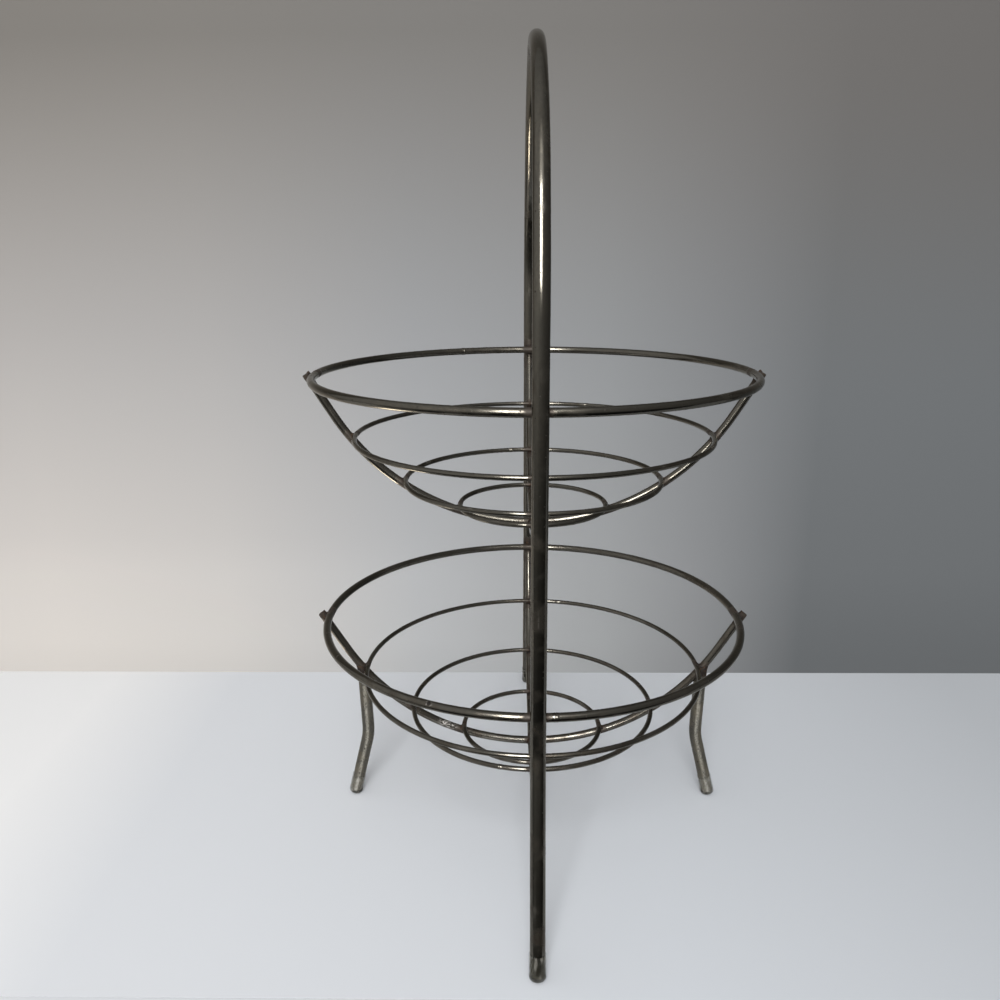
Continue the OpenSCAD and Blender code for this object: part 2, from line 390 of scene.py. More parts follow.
def aged_pewter():
    """Dark pewter plate on drawn steel: half polished, with die lines along the wire, cloudy tarnish, dark
    pits, pale rubbed marks, and brown scale where it was hot or damp. The side legs are worn to a dusty
    grey, and a highlight is painted down their front side as a pale streak, which also shows through the
    caps. Where a foot cap covers it, the plate has stayed smooth."""
    material, made = bare_material("aged pewter")
    unbent = made.node("ShaderNodeAttribute", {"attribute_name": "unbent"}, out="Vector")
    heat = made.node("ShaderNodeAttribute", {"attribute_name": "weld_heat"}, out="Fac")
    covered = made.node("ShaderNodeAttribute", {"attribute_name": "covered"}, out="Fac")
    handled = made.node("ShaderNodeAttribute", {"attribute_name": "handled"}, out="Fac")
    place = made.node("ShaderNodeTexCoord", out="Object")
    x, y, z = made.split(unbent)
    _, behind, above_table = made.split(place)
    low_down = 1.0 - made.fade(above_table, 0.03, 0.24)

    fine_lines = made.noise(made.join(x, y, z * 0.004), 0.00016, detail=1.0)
    die_lines = made.noise(made.join(x, y, z * 0.03), 0.0007, detail=3.0, roughness=0.6)
    broad_lines = made.noise(made.join(x, y, z * 0.12), 0.0032, detail=2.0)
    clouds = made.noise(place, 0.034, detail=3.0, roughness=0.6)
    patches = made.noise(unbent, 0.009, detail=2.0, roughness=0.5)
    grain = made.noise(made.join(x, y, z * 0.5), 0.0009, detail=2.0, roughness=0.6)
    grit = made.noise(unbent, 0.0011, detail=3.0, roughness=0.7)
    tarnish = made.fade(patches * 0.7 + clouds * 0.5 + low_down * 0.05, 0.60, 0.80)

    cell, cell_colour = made.node(
        "ShaderNodeTexVoronoi",
        sockets={"Vector": unbent, "Scale": PITS_PER_METRE},
        out=("Distance", "Color"),
    )
    lot, size, _ = made.split(cell_colour)
    pit_edge = 0.10 + size * 0.26 + 0.08 * handled
    pits = made.fade(lot + 0.2 * handled, 0.80, 0.82) * (1.0 - made.fade(cell, 0.06, pit_edge))
    rubbed = made.fade(grit * 0.1 + broad_lines, 0.66, 0.80) * made.fade(patches, 0.50, 0.62)
    dusty = handled * made.fade(patches * 0.5 + broad_lines * 0.5 + grit * 0.2, 0.42, 0.78)
    # A highlight is painted as a pale streak down the front side of the side legs, and under their caps.
    facing = made.fade(-1.0 * behind, ROD_RADIUS * 0.915, ROD_RADIUS * 1.025)
    painted_streak = handled * facing * made.fade(grit * 0.6 + grain * 0.4, 0.34, 0.56)
    streaks = made.fade(broad_lines, 0.55, 0.68) * low_down
    mottled = made.fade(patches, 0.46, 0.66) * low_down
    scale = made.fade(heat + (grit - 0.5) * 0.9 + (patches - 0.5) * 0.8, 0.45, 0.80)
    cut_end = made.fade(heat, 1.1, 1.4)

    def near(centre, inner, outer):
        """1 within inner of a place on the stand, fading to 0 at outer."""
        apart = made.node(
            "ShaderNodeVectorMath",
            {"operation": "DISTANCE"},
            {0: place, 1: centre},
            out="Value",
        )
        return 1.0 - made.fade(apart, inner, outer)

    scratched = made.fade(grit * 0.4 + grain * 0.6, 0.42, 0.60)
    scuff = near(SCUFF_PLACE, SCUFF_REACH * 0.3, SCUFF_REACH) * scratched
    nick = near(NICK_PLACE, NICK_REACH * 0.5, NICK_REACH)
    nick_edge = (near(NICK_PLACE, NICK_REACH, NICK_REACH * 1.6) - nick) * made.fade(grit, 0.48, 0.60)

    warm = made.blend(made.fade(clouds, 0.35, 0.68), (0.102, 0.097, 0.084), (0.122, 0.111, 0.090))
    grained = made.blend(made.fade(grain, 0.35, 0.65), (0.093, 0.087, 0.074), warm)
    lined = made.blend(made.fade(broad_lines, 0.56, 0.74) * 0.4, grained, (0.066, 0.053, 0.040))
    dulled = made.blend(tarnish * 0.6, lined, (0.040, 0.035, 0.028))
    browned = made.blend(mottled * 0.5, dulled, (0.050, 0.038, 0.028))
    worn = made.blend((rubbed * 0.4).most(streaks * 0.35), browned, (0.26, 0.25, 0.225))
    dust_and_streak = made.blend(dusty * 0.8, worn, (0.130, 0.116, 0.085))
    # Painted highlight: the pale streak down the front of the side legs.
    dust_and_streak = made.blend(painted_streak * 0.6, dust_and_streak, (0.46, 0.435, 0.37))
    pitted = made.blend(pits * 0.9, dust_and_streak, (0.012, 0.009, 0.007))
    scaled = made.blend(scale * 0.9, pitted, (0.030, 0.021, 0.015))
    knocked = made.blend((scuff * 0.7).most(nick_edge * 0.6), scaled, (0.46, 0.44, 0.42))
    bruised = made.blend(nick, knocked, (0.014, 0.011, 0.009))
    under_cap = made.blend(handled, (0.070, 0.065, 0.050), (0.20, 0.185, 0.15))
    # The painted highlight streak shows under the side legs' caps too.
    under_cap = made.blend(painted_streak * 0.85, under_cap, (0.74, 0.71, 0.64))
    colour = made.blend(covered, bruised, under_cap)

    old = 0.07 * die_lines + 0.04 * clouds + 0.14 * tarnish + 0.28 * pits + 0.34 * scale
    old = old + 0.3 * scuff + 0.26 * dusty + 0.5 * cut_end
    dull = 0.22 * tarnish + 0.4 * pits + 0.6 * scale + 0.3 * scuff + 0.5 * nick + 0.35 * dusty + 0.2 * painted_streak
    metallic = 1.0 - dull.least(1.0) * (1.0 - covered) - 0.4 * handled * covered
    dents = 0.15 * pits + 2.0 * nick - 0.8 * scuff * grit
    height = fine_lines + 0.07 * die_lines + 0.10 * grit * (tarnish + scale * 3.0) - dents
    bump = made.node(
        "ShaderNodeBump",
        sockets={"Strength": 1.0, "Distance": DIE_LINE_DEPTH, "Height": height},
    )
    surface = made.node(
        "ShaderNodeBsdfPrincipled",
        sockets={
            "Base Color": colour,
            "Metallic": metallic,
            "Roughness": (0.10 + old * (1.0 - 0.6 * covered)).least(0.9),
            "Specular Tint": (0.78, 0.76, 0.72),
            "Normal": bump,
        },
    )
    made.end("ShaderNodeOutputMaterial", "Surface", surface)
    return material


def draw_wire(name, points, radius, seed, sides=24, closed=False, bead=0.0):
    """A wire along the points, which stands for the frame's node of the same name."""
    path = points if closed else with_sheared_ends(points)
    piece = plain_mesh(name + "_wire", path_object(path, closed), wire_tree, {
        "Radius": radius,
        "Sides": sides,
        "Sheared Edge": NO_EDGE if closed else SHEARED_EDGE,
        "Waver": WAVER,
        "Dents": DENT_DEPTH,
        "Butt Bead": bead,
        "Seed": seed,
        "Finish": pewter,
    })
    for face in piece.data.polygons:
        face.use_smooth = len(face.vertices) == 4
    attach(piece, "root")
    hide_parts(name)
    wires.append(piece)
    return piece


wire_tree = drawn_wire_tree()
pewter = aged_pewter()
wires = []


def ring_size(name):
    """A ring's radius to the middle of its wire, its wire's radius and its height."""
    low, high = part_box(name)
    wire = (high.z - low.z) / 2
    return high.x - wire, wire, (high.z + low.z) / 2


RIM_RADIUS, RIM_WIRE, UPPER_RIM_Z = ring_size("upper_rim")
HOOP_RADIUS = RIM_RADIUS + RIM_WIRE + WELD_GAP + ROD_RADIUS
HANDLE_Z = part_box("arch_frame")[1].z - HOOP_RADIUS - ROD_RADIUS * BEND_SWELL
CAP_RADIUS = 0.0045
CAP_ROUND = 0.0022
CAP_WORN = 0.0002


def cap_foot(name, splay):
    """Where the middle of a cap's closed end lies, as (out, up), from the cap's box."""
    low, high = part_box(name)
    reach = max(abs(low.x), abs(high.x), abs(low.y), abs(high.y))
    corner = CAP_RADIUS - CAP_ROUND
    out = reach - corner * cos(splay) - CAP_ROUND + CAP_ROUND * sin(splay)
    return Vector((out, corner * sin(splay) + CAP_ROUND * (1 - cos(splay)) - CAP_WORN))


def rod_end(foot, splay):
    """Where a rod ends inside its cap, just short of the cap's closed end."""
    return foot + (CAP_END + ROD_END_AIR) * Vector((-sin(splay), cos(splay)))


hoop_foot = cap_foot("rear_foot_cap", HOOP_SPLAY)
hoop_end = rod_end(hoop_foot, HOOP_SPLAY)
knee_cut = KNEE_BEND_RADIUS * tan(HOOP_SPLAY / 2)
knee_bend = (KNEE_BEND_RADIUS, HOOP_SPLAY)
hoop_shin = (hoop_end - Vector((HOOP_RADIUS, HOOP_KNEE_Z))).length - knee_cut
hoop_leg = HANDLE_Z - HOOP_KNEE_Z - knee_cut
hoop_points = bench_path(
    (-hoop_end.x, hoop_end.y),
    pi / 2 - HOOP_SPLAY,
    [hoop_shin, knee_bend, hoop_leg, (HOOP_RADIUS, -pi), hoop_leg, knee_bend, hoop_shin],
)
draw_wire("arch_frame", in_yz(hoop_points), ROD_RADIUS, seed=1.37, sides=32)


# Each bowl has a rim of 4.75 mm wire and three rings of 3 mm wire below it. A ring is a
# coil of wire cut through and butt welded, which leaves a small bead at the seam.
BEAD_STEP = 0.0003
BEAD_STEPS = 10
BUTT_BEAD = 0.00014
SEAMS = {
    "upper_rim": 112, "upper_large_ring": 68, "upper_middle_ring": 100, "upper_small_ring": 300,
    "lower_rim": 274, "lower_large_ring": 78, "lower_middle_ring": 255, "lower_small_ring": 128,
}


def ring_points(radius, z, seam):
    """Points round a ring from its seam, closer together beside the bead."""
    length = 2 * pi * radius
    reach = BEAD_STEP * BEAD_STEPS
    near = [BEAD_STEP * i for i in range(BEAD_STEPS)]
    count = round((length - 2 * reach) / STEP_ALONG)
    far = [reach + (length - 2 * reach) * i / count for i in range(count + 1)]
    back = [length - s for s in reversed(near[1:])]
    turns = [seam + s / radius for s in near + far + back]
    return [Vector((radius * cos(turn), radius * sin(turn), z)) for turn in turns]


for i, (ring, seam) in enumerate(SEAMS.items()):
    radius, wire, z = ring_size(ring)
    draw_wire(
        ring,
        ring_points(radius, z, radians(seam)),
        wire,
        seed=3.1 + 2.3 * i,
        closed=True,
        bead=BUTT_BEAD,
    )


# The ribs are 5 mm rod, rolled to the curve of a ball, with straight ends. The side rib of
# a bowl is one piece from end to end. Two half ribs are butted against its flanks.
RIB_SLOPE = radians(58.5)
RIB_PAST_RIM = 0.0035
SPARE = 0.012
RIB_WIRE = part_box("upper_side_rib")[1].y / BEND_SWELL
RING_WIRE = ring_size("upper_small_ring")[1]
LARGE_RADIUS, _, large_z = ring_size("upper_large_ring")
small_radius, _, small_z = ring_size("upper_small_ring")
ball_z = (LARGE_RADIUS**2 - small_radius**2 + large_z**2 - small_z**2) / (2 * (large_z - small_z))
RING_BALL = sqrt(LARGE_RADIUS**2 + (large_z - ball_z) ** 2)
BALL_OVER_RIM = ball_z - UPPER_RIM_Z
RIB_BEND = RING_BALL + RING_WIRE + WELD_GAP + RIB_WIRE
RIB_OUT = Vector((sin(RIB_SLOPE), -cos(RIB_SLOPE)))
RIB_ALONG = Vector((cos(RIB_SLOPE), sin(RIB_SLOPE)))
rib_tip = (RIM_WIRE + WELD_GAP + RIB_WIRE) * RIB_OUT + RIB_PAST_RIM * RIB_ALONG + Vector((RIM_RADIUS, 0))
rib_straight = (rib_tip - Vector((0, BALL_OVER_RIM)) - RIB_BEND * RIB_OUT).length
RIM_HEIGHTS = {"upper": UPPER_RIM_Z, "lower": ring_size("lower_rim")[2]}


def in_xz(points):
    return [Vector((p[0], 0.0, p[1])) for p in points]


def saw_off(piece, at, towards):
    """Saws a piece through along a plane and takes away what lies towards one side."""
    sawn = bmesh.new()
    sawn.from_mesh(piece.data)
    everything = sawn.verts[:] + sawn.edges[:] + sawn.faces[:]
    cut = bmesh.ops.bisect_plane(sawn, geom=everything, plane_co=at, plane_no=towards, clear_outer=True)
    edges = [edge for edge in cut["geom_cut"] if isinstance(edge, bmesh.types.BMEdge)]
    for face in bmesh.ops.edgeloop_fill(sawn, edges=edges)["faces"]:
        face.normal_update()
        face.smooth = False
        if face.normal.dot(towards) < 0:
            face.normal_flip()
    for edge in edges:
        edge.smooth = False
    sawn.to_mesh(piece.data)
    sawn.free()


for tier, rim_z in RIM_HEIGHTS.items():
    rib_points = bench_path(
        (-rib_tip.x, rim_z + rib_tip.y),
        -RIB_SLOPE,
        [rib_straight, (RIB_BEND, 2 * RIB_SLOPE), rib_straight],
    )
    draw_wire(tier + "_side_rib", in_xz(rib_points), RIB_WIRE, seed=31.0 + rim_z)
    half_points = bench_path(
        (0.0, rim_z + BALL_OVER_RIM - RIB_BEND),
        0.0,
        [(RIB_BEND, RIB_SLOPE), rib_straight + SPARE],
    )
    for end, side in (("front", -1.0), ("rear", 1.0)):
        points = [Vector((0.0, side * p[0], p[1])) for p in half_points]
        half = draw_wire(f"{tier}_{end}_rib", points, RIB_WIRE, seed=41.0 + side + rim_z)
        outward = Vector((0.0, side, 0.0))
        saw_off(half, outward * (HOOP_RADIUS - ROD_RADIUS - WELD_GAP), outward)
        saw_off(half, outward * (RIB_WIRE + WELD_GAP), -outward)


# Two short legs of the same 8 mm rod stand under the lower bowl's side rib, where the large
# ring crosses it. Their tops are bevelled to lie along the rib.
SIDE_KNEE_Z = 0.046
SIDE_LEAN = radians(1.5)
SIDE_SPLAY = radians(14.0)
leg_turn = atan2(LARGE_RADIUS, sqrt(RING_BALL**2 - LARGE_RADIUS**2))
LEG_OUT = Vector((sin(leg_turn), -cos(leg_turn)))
LEG_TOP = Vector((0.0, RIM_HEIGHTS["lower"] + BALL_OVER_RIM)) + RIB_BEND * LEG_OUT
bevel = LEG_TOP + (RIB_WIRE + WELD_GAP) * LEG_OUT
side_foot = cap_foot("right_foot_cap", SIDE_SPLAY)
side_end = rod_end(side_foot, SIDE_SPLAY)
side_knee = Vector((LEG_TOP.x - (LEG_TOP.y - SIDE_KNEE_Z) * tan(SIDE_LEAN), SIDE_KNEE_Z))
side_top = side_knee + (LEG_TOP.y + SPARE - SIDE_KNEE_Z) * Vector((tan(SIDE_LEAN), 1.0))
side_turn = SIDE_LEAN + SIDE_SPLAY
side_cut = KNEE_BEND_RADIUS * tan(side_turn / 2)
side_points = bench_path(
    side_end,
    pi / 2 + SIDE_SPLAY,
    [
        (side_knee - side_end).length - side_cut,
        (KNEE_BEND_RADIUS, -side_turn),
        (side_top - side_knee).length - side_cut,
    ],
)
for leg, side in (("right_leg", 1.0), ("left_leg", -1.0)):
    points = [Vector((side * p[0], 0.0, p[1])) for p in side_points]
    standing = draw_wire(leg, points, ROD_RADIUS, seed=52.0 + side, sides=32)
    saw_off(
        standing,
        Vector((side * bevel.x, 0.0, bevel.y)),
        Vector((-side * LEG_OUT.x, 0.0, -LEG_OUT.y)),
    )


# Every crossing is welded. The metal that was squeezed out stands round the joint as a
# small uneven fillet, which the plating hardly covers: it is dull, brown and a bit rusty.
RING_WELD_REACH = 0.0032
RIM_WELD_REACH = 0.0042
LEG_WELD_REACH = 0.0048
FILLET = 0.0018
PROUD = 0.00010
UNEVENNESS = 0.16
MARCH_STEPS = 48
SCALE_DEPTH = 0.00012


def weld_scale():
    """Dull brown-black scale with lumps of rust, as on bare welds."""
    material, made = bare_material("weld scale")
    place = made.node("ShaderNodeTexCoord", out="Object")
    lumps = made.noise(place, 0.0017, detail=4.0, roughness=0.65)
    grit = made.noise(place, 0.0006, detail=3.0, roughness=0.7)
    rust = made.fade(lumps, 0.46, 0.66)
    colour = made.blend(rust, (0.014, 0.010, 0.008), (0.060, 0.034, 0.019))
    bright = made.fade(grit, 0.60, 0.74) * (1.0 - rust)
    worn = made.blend(bright * 0.7, colour, (0.10, 0.09, 0.07))
    bump = made.node(
        "ShaderNodeBump",
        sockets={"Strength": 0.6, "Distance": SCALE_DEPTH, "Height": lumps + 0.5 * grit},
    )
    surface = made.node(
        "ShaderNodeBsdfPrincipled",
        sockets={
            "Base Color": worn,
            "Metallic": 0.2 + 0.3 * bright,
            "Roughness": 0.70 - 0.1 * bright + 0.15 * rust,
            "Specular IOR Level": 0.2,
            "Normal": bump,
        },
    )
    made.end("ShaderNodeOutputMaterial", "Surface", surface)
    return material


def to_ring(name):
    """Distance of points to the surface of a ring's wire."""
    radius, wire, z = ring_size(name)
    return lambda p: numpy.hypot(numpy.hypot(p[:, 0], p[:, 1]) - radius, p[:, 2] - z) - wire


def to_rib(rim_z, across):
    """Distance to a rib's surface. The rib lies along the axis that isn't across, 0 or 1."""
    def distance(p):
        out = numpy.abs(p[:, 1 - across])
        up = p[:, 2] - rim_z - BALL_OVER_RIM
        curved = numpy.hypot(out, up) - RIB_BEND
        straight = out * RIB_OUT.x + up * RIB_OUT.y - RIB_BEND
        on_bend = numpy.arctan2(out, -up) <= RIB_SLOPE
        return numpy.hypot(numpy.where(on_bend, curved, straight), p[:, across]) - RIB_WIRE
    return distance


def to_hoop_leg(p):
    return numpy.hypot(p[:, 0], numpy.abs(p[:, 1]) - HOOP_RADIUS) - ROD_RADIUS


def to_side_leg(p):
    from_line = (numpy.abs(p[:, 0]) - side_knee.x) * cos(SIDE_LEAN)
    from_line -= (p[:, 2] - side_knee.y) * sin(SIDE_LEAN)
    return numpy.hypot(from_line, p[:, 1]) - ROD_RADIUS


def fillet_lump(centre, reach, first, second):
    """Corners of a lump that fills the corner between two wires and dies out on them."""
    corners = [
        Vector(direction) * (1.0 + UNEVENNESS * noise.noise(Vector(direction) * 1.9 + centre * 900.0))
        for direction in round_lump
    ]
    steps = numpy.linspace(0.02, 1.0, MARCH_STEPS) * reach
    sizes = numpy.array([corner.length for corner in corners])
    directions = numpy.array(round_lump)
    found = numpy.full(len(directions), reach)
    searching = numpy.ones(len(directions), dtype=bool)
    for step in steps:
        place = numpy.array(centre) + directions * step
        near, far = first(place), second(place)
        fillet = FILLET * sizes
        share = numpy.clip(0.5 + 0.5 * (far - near) / fillet, 0.0, 1.0)
        joined = far + (near - far) * share - fillet * share * (1.0 - share)
        thick = PROUD * (sizes**3) * (1.0 - 1.3 * (step / reach) ** 2)
        outside = searching & (joined > thick)
        found[outside] = step
        searching &= ~outside
    return [centre + Vector(d) * float(t) for d, t in zip(round_lump, found)]


ball = bmesh.new()
bmesh.ops.create_icosphere(ball, subdivisions=4, radius=1.0)
round_lump = [tuple(corner.co) for corner in ball.verts]
lump_faces = [[corner.index for corner in face.verts] for face in ball.faces]
ball.free()


def weld_piece(name, welds):
    """One piece of all the welds of a node, each (centre, reach, first wire, second wire)."""
    corners, faces = [], []
    for centre, reach, first, second in welds:
        start = len(corners)
        corners += fillet_lump(centre, reach, first, second)
        faces += [[start + corner for corner in face] for face in lump_faces]
        weld_places.append((centre, reach))
    mesh = bpy.data.meshes.new(name)
    mesh.from_pydata(corners, [], faces)
    mesh.shade_smooth()
    mesh.materials.append(scale_metal)
    piece = new_object(name + "_beads", mesh)
    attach(piece, "root")
    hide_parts(name)


scale_metal = weld_scale()
weld_places = []
for tier, rim_z in RIM_HEIGHTS.items():
    middle_z = rim_z + BALL_OVER_RIM
    welds = []
    for ring in ("large", "middle", "small"):
        radius, wire, z = ring_size(f"{tier}_{ring}_ring")
        away = Vector((radius, z - middle_z)) / RING_BALL
        out, up = (RING_BALL + RING_WIRE + WELD_GAP / 2) * away
        on_ring = to_ring(f"{tier}_{ring}_ring")
        for side in (-1.0, 1.0):
            at_side_rib = Vector((side * out, 0, middle_z + up))
            at_half_rib = Vector((0, side * out, middle_z + up))
            welds.append((at_side_rib, RING_WELD_REACH, on_ring, to_rib(rim_z, 1)))
            welds.append((at_half_rib, RING_WELD_REACH, on_ring, to_rib(rim_z, 0)))
    out, up = Vector((RIM_RADIUS, rim_z)) + (RIM_WIRE + WELD_GAP / 2) * RIB_OUT
    for side in (-1.0, 1.0):
        on_rim = to_ring(tier + "_rim")
        welds.append((Vector((side * out, 0, up)), RIM_WELD_REACH, on_rim, to_rib(rim_z, 1)))
        butt = Vector((0, side * (RIB_WIRE + WELD_GAP / 2), middle_z - RIB_BEND))
        welds.append((butt, RING_WELD_REACH, to_rib(rim_z, 1), to_rib(rim_z, 0)))
    weld_piece(tier + "_bowl_welds", welds)

hoop_welds = []
rim_joint = RIM_RADIUS + RIM_WIRE + WELD_GAP / 2
rib_joint = HOOP_RADIUS - ROD_RADIUS - WELD_GAP / 2
rib_at_rim = Vector((RIM_RADIUS, 0)) + (RIM_WIRE + WELD_GAP + RIB_WIRE) * RIB_OUT
rib_under = rib_at_rim.y + (rib_joint - rib_at_rim.x) * tan(RIB_SLOPE) - RIB_WIRE / cos(RIB_SLOPE)
for tier, rim_z in RIM_HEIGHTS.items():
    for side in (-1.0, 1.0):
        rim_place = Vector((0, side * rim_joint, rim_z + RIM_WIRE / 2))
        hoop_welds.append((rim_place, RIM_WELD_REACH, to_ring(tier + "_rim"), to_hoop_leg))
        rib_place = Vector((0, side * rib_joint, rim_z + rib_under))
        hoop_welds.append((rib_place, RING_WELD_REACH, to_hoop_leg, to_rib(rim_z, 0)))
weld_piece("arch_welds", hoop_welds)

lower_rim_z = RIM_HEIGHTS["lower"]
leg_joint = LEG_TOP + (RIB_WIRE + WELD_GAP / 2) * LEG_OUT
weld_piece("leg_welds", [
    (Vector((side * leg_joint.x, 0, leg_joint.y)), LEG_WELD_REACH, to_rib(lower_rim_z, 1), to_side_leg)
    for side in (-1.0, 1.0)
])

# The heat of each weld browned the wire round it, and damp has browned the bottom of the
# upper bowl. The ends of the side ribs, past the rims, are matt with brown scale.
HEAT_REACH = 0.006
DAMP_REACH = 0.05
DAMPEST = 0.75
CUT_END = 0.0030
CUT_END_HEAT = 1.5
upper_bottom = (0.0, 0.0, UPPER_RIM_Z + BALL_OVER_RIM - RIB_BEND)
weld_centres = numpy.array([centre for centre, reach in weld_places])
weld_reaches = numpy.array([reach for centre, reach in weld_places])
for piece in wires:
    mesh = piece.data
    places = numpy.empty(3 * len(mesh.vertices))
    mesh.vertices.foreach_get("co", places)
    places = places.reshape(-1, 3)
    gaps = numpy.linalg.norm(places[:, None] - weld_centres, axis=2) - weld_reaches
    damp = DAMPEST - numpy.linalg.norm(places - upper_bottom, axis=1) / DAMP_REACH
    heat = numpy.clip(numpy.maximum(1.0 - gaps.min(axis=1) / HEAT_REACH, damp), 0.0, 1.0)
    handled = 1.0 if piece.name in ("left_leg_wire", "right_leg_wire") else 0.0
    mesh.attributes.new("handled", "FLOAT", "POINT").data.foreach_set("value", [handled] * len(heat))
    for tier, rim_z in RIM_HEIGHTS.items():
        if piece.name == tier + "_side_rib_wire":
            tip = rib_tip + Vector((0.0, rim_z))
            along = numpy.abs(places[:, 0]) * RIB_ALONG.x + places[:, 2] * RIB_ALONG.y
            heat[along > tip.dot(RIB_ALONG) - CUT_END] = CUT_END_HEAT
    mesh.attributes.new("weld_heat", "FLOAT", "POINT").data.foreach_set("value", heat)


# Each foot wears a push-on cap of clear soft plastic, moulded in one piece with a rounded
# closed end. It has yellowed and is scuffed, and its lowest edge is worn where it stands.
CAP_LENGTH = 0.014
CAP_BORE = 0.0041
CAP_SEGMENTS = 64
CAP_ROUND_STEPS = 10
CAP_WALL_STEPS = 8
FLAT_RING = 0.0007
BORE_CHAMFER = 0.0004
LIP_ROUND = 0.00018
COVER_FADE = 0.0008
SPECKS_PER_METRE = 700.0


def clear_plastic():
    """Clear vinyl that fits the rod so tightly that it bends the light little. Its surface is scuffed in
    places, and specks of dirt lie in it. Its closed end is painted darker and less clear, as shade where
    it stands on the table."""
    material, made = bare_material("clear plastic")
    place = made.node("ShaderNodeTexCoord", out="Object")
    haze = made.noise(place, 0.004, detail=4.0, roughness=0.7)
    across, along, above_table = made.split(place)
    lengthwise = made.noise(made.join(across, along, above_table * 0.14), 0.0021, detail=2.0)
    scuffs = made.fade(lengthwise, 0.52, 0.62)
    dot, dot_colour = made.node(
        "ShaderNodeTexVoronoi",
        sockets={"Vector": place, "Scale": SPECKS_PER_METRE},
        out=("Distance", "Color"),
    )
    lot, size, _ = made.split(dot_colour)
    specks = made.fade(lot, 0.90, 0.92) * (1.0 - made.fade(dot, 0.08, 0.14 + size * 0.25))
    edge_on = made.node("ShaderNodeLayerWeight", sockets={"Blend": 0.35}, out="Facing")
    # Painted shade: the closed end is darker and more opaque where the cap stands on the table.
    shaded_bottom = 1.0 - made.fade(above_table, 0.0015, 0.0032)
    scuffed = made.blend(scuffs, (0.110, 0.105, 0.082), (0.38, 0.365, 0.32))
    painted_bottom_shade = made.blend(shaded_bottom * 0.8, scuffed, (0.050, 0.048, 0.040))
    colour = made.blend(specks, painted_bottom_shade, (0.015, 0.012, 0.009))
    solid = 0.07 + 0.30 * haze * scuffs + 0.6 * edge_on**3 + 0.55 * shaded_bottom + 0.9 * specks
    surface = made.node(
        "ShaderNodeBsdfPrincipled",
        sockets={
            "Base Color": colour,
            "Roughness": 0.08 + 0.25 * scuffs,
            "IOR": 1.47,
            "Alpha": solid.least(1.0),
        },
    )
    made.end("ShaderNodeOutputMaterial", "Surface", surface)
    return material


def cap_profile():
    """The cap's wall as (radius, height) from the middle of its closed end to its bore."""
    turns = [pi / 2 * i / CAP_ROUND_STEPS for i in range(CAP_ROUND_STEPS + 1)]
    corner = [(CAP_RADIUS - CAP_ROUND * (1 - sin(turn)), CAP_ROUND * (1 - cos(turn))) for turn in turns]
    straight = (CAP_LENGTH - LIP_ROUND - CAP_ROUND) / CAP_WALL_STEPS
    wall = [(CAP_RADIUS, CAP_ROUND + straight * i) for i in range(1, CAP_WALL_STEPS + 1)]
    lip = [(CAP_RADIUS - LIP_ROUND, CAP_LENGTH), (CAP_BORE + LIP_ROUND, CAP_LENGTH)]
    inside = [
        (CAP_BORE, CAP_LENGTH - LIP_ROUND),
        (CAP_BORE, CAP_END + BORE_CHAMFER),
        (CAP_BORE - BORE_CHAMFER, CAP_END),
        (0.0, CAP_END),
    ]
    return [(0.0, 0.0), (FLAT_RING, 0.0), *corner, *wall, *lip, *inside]


def mark_covered(piece, foot, axis):
    """Marks the end of a rod that a cap covers. The mark fades out just inside the cap's lip."""
    mesh = piece.data
    places = numpy.empty(3 * len(mesh.vertices))
    mesh.vertices.foreach_get("co", places)
    inward = (places.reshape(-1, 3) - numpy.array(foot)) @ numpy.array(axis)
    covered = mesh.attributes.get("covered") or mesh.attributes.new("covered", "FLOAT", "POINT")
    marks = numpy.empty(len(mesh.vertices))
    covered.data.foreach_get("value", marks)
    marks = numpy.maximum(marks, numpy.clip((CAP_LENGTH - inward) / COVER_FADE, 0.0, 1.0))
    covered.data.foreach_set("value", marks)


plastic = clear_plastic()
for foot, turn, splay, place in (
    ("front", -90, HOOP_SPLAY, hoop_foot),
    ("rear", 90, HOOP_SPLAY, hoop_foot),
    ("right", 0, SIDE_SPLAY, side_foot),
    ("left", 180, SIDE_SPLAY, side_foot),
):
    moulded = bmesh.new()
    outline = [moulded.verts.new((radius, 0.0, height)) for radius, height in cap_profile()]
    edges = [moulded.edges.new(pair) for pair in zip(outline, outline[1:])]
    bmesh.ops.spin(
        moulded,
        geom=outline + edges,
        axis=(0, 0, 1),
        cent=(0, 0, 0),
        angle=2 * pi,
        steps=CAP_SEGMENTS,
    )
    bmesh.ops.remove_doubles(moulded, verts=moulded.verts, dist=1e-6)
    bmesh.ops.recalc_face_normals(moulded, faces=moulded.faces)
    standing = Matrix.Rotation(radians(turn), 4, "Z") @ Matrix.Translation((place.x, 0.0, place.y))
    moulded.transform(standing @ Matrix.Rotation(-splay, 4, "Y"))
    for corner in moulded.verts:
        corner.co.z = max(corner.co.z, 0.0)
    name = foot + "_foot_cap"
    axis = Matrix.Rotation(radians(turn), 3, "Z") @ Vector((-sin(splay), 0.0, cos(splay)))
    for piece in wires:
        if piece.name in ("arch_frame_wire", foot + "_leg_wire"):
            mark_covered(piece, standing.translation, axis)
    mesh = bpy.data.meshes.new(name)
    moulded.to_mesh(mesh)
    moulded.free()
    mesh.shade_smooth()
    mesh.materials.append(plastic)
    piece = new_object(name + "_moulding", mesh)
    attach(piece, "root")
    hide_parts(name)


